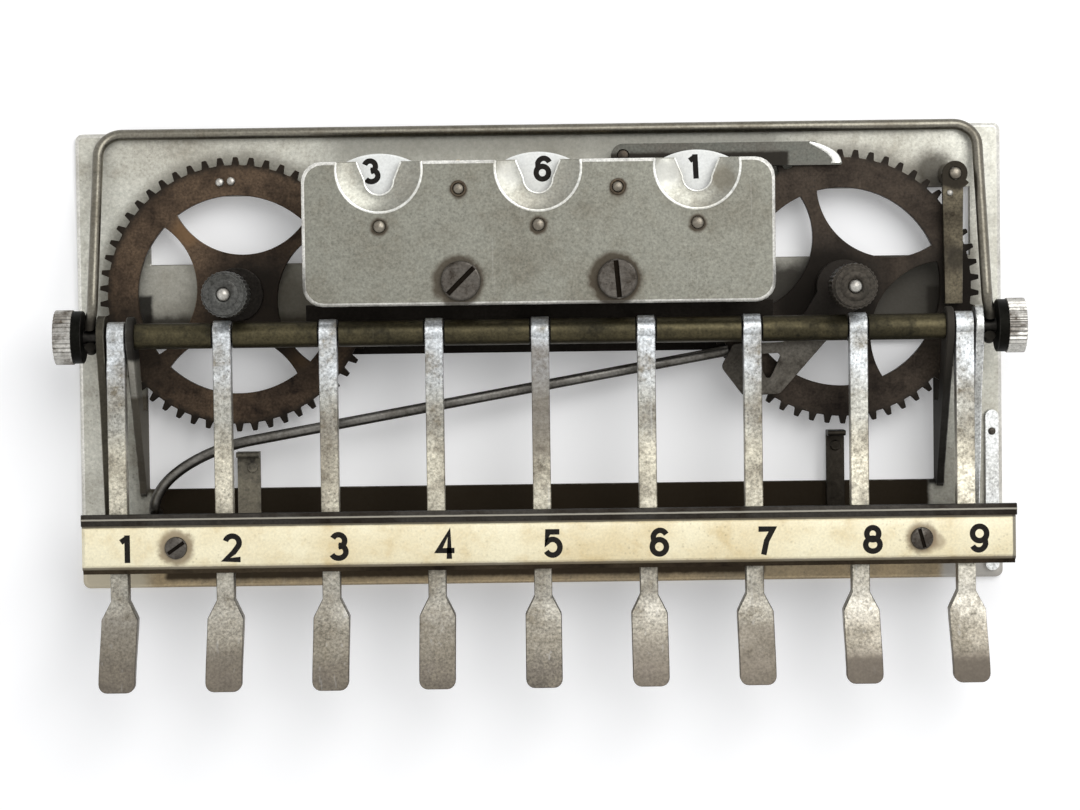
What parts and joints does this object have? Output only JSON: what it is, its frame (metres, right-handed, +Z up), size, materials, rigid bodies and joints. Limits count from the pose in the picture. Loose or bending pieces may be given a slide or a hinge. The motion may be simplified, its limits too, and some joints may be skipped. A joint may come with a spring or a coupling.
{
  "type": "mechanical calculator",
  "caption": "Open-frame adding machine with a row of hinged number keys on a rod, toothed wheels, a covered read-out of number discs, a number strip and a wire bail.",
  "frame": {"origin": "middle of the outline, at the height of the base plate's underside", "axes": "+X to the user's right along the row of keys, +Y from the keys to the rear, +Z up"},
  "size_m": [0.1564, 0.091, 0.028],
  "materials": {
    "plate_metal": "worn nickel-plated sheet",
    "guide_metal": "dark patina",
    "strip_face": "aged ivory enamel with printed numerals",
    "screw_steel": "rusty slotted screws",
    "rod_steel": "bright ground rod",
    "spacer_brass": "dark olive patina",
    "collar_black": "blackened",
    "nut_silver": "knurled, bright",
    "cover_steel": "speckled warm grey, bright bevel",
    "pillar_brass": "turned",
    "rail_dark": "dark patina",
    "spring_steel": "bright spring strip",
    "key_steel": "bluish near the rod, grey-brown paddles",
    "bar_dark": "dark steel",
    "arm_olive": "olive patina",
    "arm_bright": "bright steel",
    "bail_wire": "bright wire",
    "left_wheel_metal": "mid-brown patina",
    "right_wheel_metal": "dark chocolate patina",
    "hub_dark": "dark steel",
    "gear_brass": "cut brass",
    "disc_white": "white with printed numerals",
    "lever_dark": "dark brown steel",
    "stop_brass": "brass-brown"
  },
  "bodies": {
    "frame": {"base_plate": "plate_metal", "key_guide": "guide_metal", "number_strip": "strip_face", "strip_screws": "screw_steel", "key_rod": "rod_steel", "rod_spacers": "spacer_brass", "left_rod_collar": "collar_black", "right_rod_collar": "collar_black", "left_rod_nut": "nut_silver", "right_rod_nut": "nut_silver", "wheel_studs": "nut_silver", "arbor_studs": "nut_silver", "cover_plate": "cover_steel", "cover_pillars": "pillar_brass", "cover_screws": "screw_steel", "dial_rail": "rail_dark", "return_spring": "spring_steel", "spring_post": "nut_silver", "left_detent": "spring_steel", "right_detent": "spring_steel", "lock_stud": "nut_silver", "stop_stud": "nut_silver", "edge_strip": "spring_steel"},
    "key_1": {"key_1": "key_steel"},
    "key_2": {"key_2": "key_steel"},
    "key_3": {"key_3": "key_steel"},
    "key_4": {"key_4": "key_steel"},
    "key_5": {"key_5": "key_steel"},
    "key_6": {"key_6": "key_steel"},
    "key_7": {"key_7": "key_steel"},
    "key_8": {"key_8": "key_steel"},
    "key_9": {"key_9": "key_steel"},
    "rocker": {"universal_bar": "bar_dark", "rocker_arm_left": "arm_olive", "rocker_arm_right": "arm_bright"},
    "bail": {"bail": "bail_wire"},
    "left_wheel": {"left_wheel": "left_wheel_metal", "left_wheel_pins": "nut_silver", "left_wheel_sleeve": "hub_dark", "left_setting_knob": "hub_dark"},
    "right_wheel": {"right_wheel": "right_wheel_metal", "right_wheel_sleeve": "hub_dark", "right_setting_knob": "hub_dark"},
    "units": {"units_arbor": "gear_brass", "units_disc": "disc_white"},
    "tens": {"tens_gear": "gear_brass", "tens_disc": "disc_white"},
    "hundreds": {"hundreds_gear": "gear_brass", "hundreds_disc": "disc_white"},
    "units_transfer": {"units_transfer_pinion": "gear_brass"},
    "tens_transfer": {"tens_transfer_pinion": "gear_brass"},
    "drive": {"drive_lever": "lever_dark", "drive_pawl": "lever_dark"},
    "lock": {"lock_lever": "lever_dark"},
    "stop": {"stop_lever": "stop_brass"}
  },
  "joints": [
    {"name": "key_1_press", "type": "hinge", "parent": "frame", "child": "key_1", "pos_m": [0, 0.0114, 0.015], "axis": [1, 0, 0], "range_deg": [0, 7], "stiffness_Nm_per_rad": 0.05, "springref_deg": -28.65},
    {"name": "key_2_press", "type": "hinge", "parent": "frame", "child": "key_2", "pos_m": [0, 0.0114, 0.015], "axis": [1, 0, 0], "range_deg": [0, 7], "stiffness_Nm_per_rad": 0.05, "springref_deg": -28.65},
    {"name": "key_3_press", "type": "hinge", "parent": "frame", "child": "key_3", "pos_m": [0, 0.0114, 0.015], "axis": [1, 0, 0], "range_deg": [0, 7], "stiffness_Nm_per_rad": 0.05, "springref_deg": -28.65},
    {"name": "key_4_press", "type": "hinge", "parent": "frame", "child": "key_4", "pos_m": [0, 0.0114, 0.015], "axis": [1, 0, 0], "range_deg": [0, 7], "stiffness_Nm_per_rad": 0.05, "springref_deg": -28.65},
    {"name": "key_5_press", "type": "hinge", "parent": "frame", "child": "key_5", "pos_m": [0, 0.0114, 0.015], "axis": [1, 0, 0], "range_deg": [0, 7], "stiffness_Nm_per_rad": 0.05, "springref_deg": -28.65},
    {"name": "key_6_press", "type": "hinge", "parent": "frame", "child": "key_6", "pos_m": [0, 0.0114, 0.015], "axis": [1, 0, 0], "range_deg": [0, 7], "stiffness_Nm_per_rad": 0.05, "springref_deg": -28.65},
    {"name": "key_7_press", "type": "hinge", "parent": "frame", "child": "key_7", "pos_m": [0, 0.0114, 0.015], "axis": [1, 0, 0], "range_deg": [0, 7], "stiffness_Nm_per_rad": 0.05, "springref_deg": -28.65},
    {"name": "key_8_press", "type": "hinge", "parent": "frame", "child": "key_8", "pos_m": [0, 0.0114, 0.015], "axis": [1, 0, 0], "range_deg": [0, 7], "stiffness_Nm_per_rad": 0.05, "springref_deg": -28.65},
    {"name": "key_9_press", "type": "hinge", "parent": "frame", "child": "key_9", "pos_m": [0, 0.0114, 0.015], "axis": [1, 0, 0], "range_deg": [0, 7], "stiffness_Nm_per_rad": 0.05, "springref_deg": -28.65},
    {"name": "rocker_press", "type": "hinge", "parent": "frame", "child": "rocker", "pos_m": [0, 0.0114, 0.015], "axis": [1, 0, 0], "range_deg": [0, 7], "stiffness_Nm_per_rad": 0.05, "springref_deg": -28.65},
    {"name": "bail_swing", "type": "hinge", "parent": "frame", "child": "bail", "pos_m": [0, 0.0114, 0.015], "axis": [1, 0, 0], "range_deg": [0, 186]},
    {"name": "right_wheel_turn", "type": "hinge", "parent": "frame", "child": "right_wheel", "pos_m": [0.0498, 0.018, 0.00495], "axis": [0, 0, 1], "continuous": true},
    {"name": "left_wheel_turn", "type": "hinge", "parent": "frame", "child": "left_wheel", "pos_m": [-0.0498, 0.018, 0.00495], "axis": [0, 0, 1], "continuous": true},
    {"name": "units_turn", "type": "hinge", "parent": "frame", "child": "units", "pos_m": [0.0254, 0.02849, 0.01], "axis": [0, 0, 1], "continuous": true},
    {"name": "tens_turn", "type": "hinge", "parent": "frame", "child": "tens", "pos_m": [0, 0.02849, 0.01], "axis": [0, 0, 1], "continuous": true},
    {"name": "hundreds_turn", "type": "hinge", "parent": "frame", "child": "hundreds", "pos_m": [-0.0254, 0.02849, 0.01], "axis": [0, 0, 1], "continuous": true},
    {"name": "units_transfer_turn", "type": "hinge", "parent": "frame", "child": "units_transfer", "pos_m": [0.0127, 0.03438, 0.0085], "axis": [0, 0, 1], "continuous": true},
    {"name": "tens_transfer_turn", "type": "hinge", "parent": "frame", "child": "tens_transfer", "pos_m": [-0.0127, 0.03438, 0.012], "axis": [0, 0, 1], "continuous": true},
    {"name": "drive_swing", "type": "hinge", "parent": "frame", "child": "drive", "pos_m": [0.0498, 0.018, 0.0086], "axis": [0, 0, 1], "range_deg": [0, 60]},
    {"name": "lock_swing", "type": "hinge", "parent": "frame", "child": "lock", "pos_m": [0.014, 0.03995, 0.0065], "axis": [0, 0, 1], "range_deg": [0, 4], "stiffness_Nm_per_rad": 0.005, "springref_deg": -11.46},
    {"name": "stop_swing", "type": "hinge", "parent": "frame", "child": "stop", "pos_m": [0.0683, 0.0363, 0.0076], "axis": [0, 0, 1], "range_deg": [0, 3]}
  ],
  "couplings": [
    {"joint": "right_wheel_turn", "follows": "units_turn", "ratio": -0.18519},
    {"joint": "left_wheel_turn", "follows": "hundreds_turn", "ratio": -0.18519},
    {"joint": "units_transfer_turn", "follows": "tens_turn", "ratio": -2.5},
    {"joint": "tens_transfer_turn", "follows": "hundreds_turn", "ratio": -2.5},
    {"joint": "drive_swing", "follows": "rocker_press", "ratio": 8.571},
    {"joint": "stop_swing", "follows": "rocker_press", "ratio": 0.42}
  ]
}
